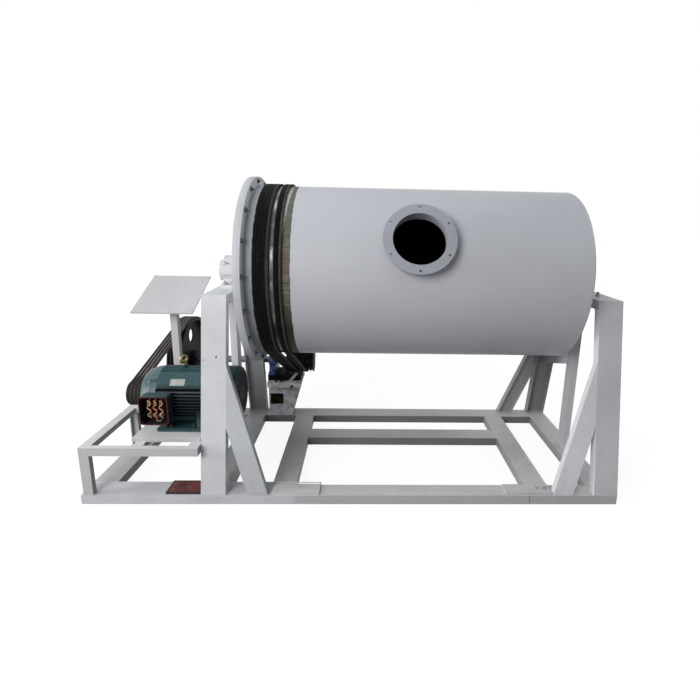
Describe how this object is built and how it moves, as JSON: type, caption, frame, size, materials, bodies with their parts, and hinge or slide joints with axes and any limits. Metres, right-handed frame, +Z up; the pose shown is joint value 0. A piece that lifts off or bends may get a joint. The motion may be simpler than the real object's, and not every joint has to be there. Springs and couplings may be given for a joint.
{
  "type": "ball mill",
  "caption": "Horizontal batch ball mill: flanged steel drum with side manhole on A-frame stands, turned by V-belts through a rear countershaft from a motor on a channel base.",
  "frame": {"origin": "centre of the bounding box at ground level, under the base channels", "axes": "+X along the drum's axis towards its plain end, +Y to the back where the countershaft is, +Z up"},
  "size_m": [3.55, 1.7402, 2.12],
  "materials": {
    "grey_paint": "satin",
    "belt": "matte",
    "blue_paint": "satin",
    "dark_paint": "satin",
    "green_paint": "satin",
    "red_primer": "matte",
    "bare_steel": "machined",
    "dark_iron": "rough"
  },
  "bodies": {
    "stand": {"front_beam_left": "grey_paint", "front_beam_main": "grey_paint", "rear_beam": "grey_paint", "cross_beams": "grey_paint", "middle_beam": "grey_paint", "splice_plates": "grey_paint", "left_stand_legs": "grey_paint", "right_stand_legs": "grey_paint", "centre_posts": "grey_paint", "left_stand_brace": "grey_paint", "right_stand_braces": "grey_paint", "bearing_beams": "grey_paint", "right_leg_tie": "grey_paint", "left_bearing": "grey_paint", "right_bearing": "grey_paint", "drum_belts": "belt", "shaft_bearings": "blue_paint", "bearing_risers": "dark_paint", "drive_pedestals": "grey_paint", "motor_frame": "green_paint", "motor_end_bell": "green_paint", "motor_fan_cowl": "green_paint", "motor_belts": "belt", "terminal_box": "green_paint", "motor_plate": "grey_paint", "subframe_cross_rails": "grey_paint", "subframe_long_rails": "grey_paint", "subframe_legs": "grey_paint", "shelf_plate": "grey_paint", "shelf_post": "grey_paint", "loose_plate": "red_primer"},
    "drum": {"drum_shell": "grey_paint", "drum_flange": "grey_paint", "left_head": "grey_paint", "right_head": "grey_paint", "left_trunnion": "bare_steel", "right_trunnion": "bare_steel", "manhole_neck": "grey_paint"},
    "countershaft_set": {"countershaft": "bare_steel", "drive_pulley": "dark_iron", "large_sheave": "dark_iron"},
    "motor_rotor": {"motor_shaft": "bare_steel", "motor_sheave": "dark_iron"}
  },
  "joints": [
    {"name": "drum_spin", "type": "hinge", "parent": "stand", "child": "drum", "pos_m": [0.3775, -0.1652, 1.46], "axis": [1, 0, 0], "continuous": true},
    {"name": "countershaft_spin", "type": "hinge", "parent": "stand", "child": "countershaft_set", "pos_m": [-1, 0.4848, 0.568], "axis": [1, 0, 0], "continuous": true},
    {"name": "motor_spin", "type": "hinge", "parent": "stand", "child": "motor_rotor", "pos_m": [-1.5, -0.48721, 0.625], "axis": [1, 0, 0], "continuous": true}
  ],
  "couplings": [
    {"joint": "countershaft_spin", "follows": "drum_spin", "ratio": 5.7818},
    {"joint": "motor_spin", "follows": "drum_spin", "ratio": 27.356}
  ]
}
